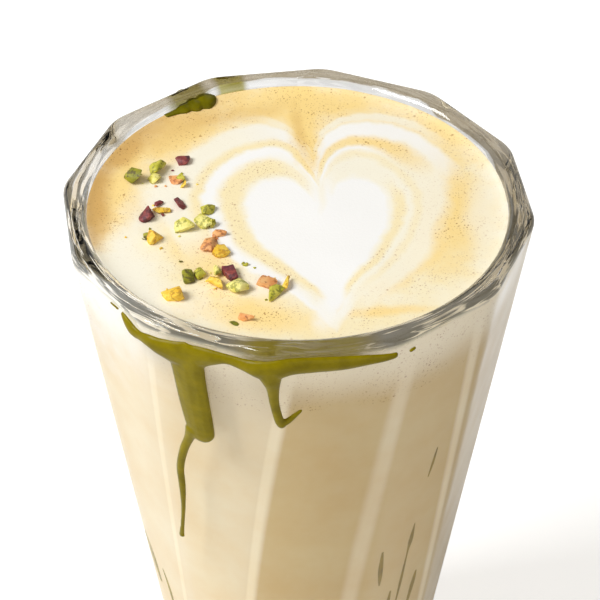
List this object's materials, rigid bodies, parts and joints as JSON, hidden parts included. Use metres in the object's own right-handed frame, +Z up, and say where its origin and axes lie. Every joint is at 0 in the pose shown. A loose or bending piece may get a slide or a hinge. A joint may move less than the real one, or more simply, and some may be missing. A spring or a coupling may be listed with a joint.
{
  "type": "pistachio latte",
  "caption": "Pistachio latte in a clear faceted tumbler, with a foam heart, chopped nuts on top and green sauce running down the glass.",
  "frame": {"origin": "middle of the base, on the surface the glass stands on", "axes": "+Z up the glass, -Y the front, where the point of the foam heart and the sauce drips are"},
  "size_m": [0.0894, 0.0894, 0.128],
  "materials": {
    "clear_glass": "polished, clear, faceted outside with softly rounded creases",
    "milky_coffee": "opaque liquid, warm pale tan",
    "foam": "fine wet foam, cream with a white heart and pale gold rings"
  },
  "bodies": {
    "root": {"glass": "clear_glass", "latte": "milky_coffee", "milk_foam": "foam"}
  },
  "joints": []
}
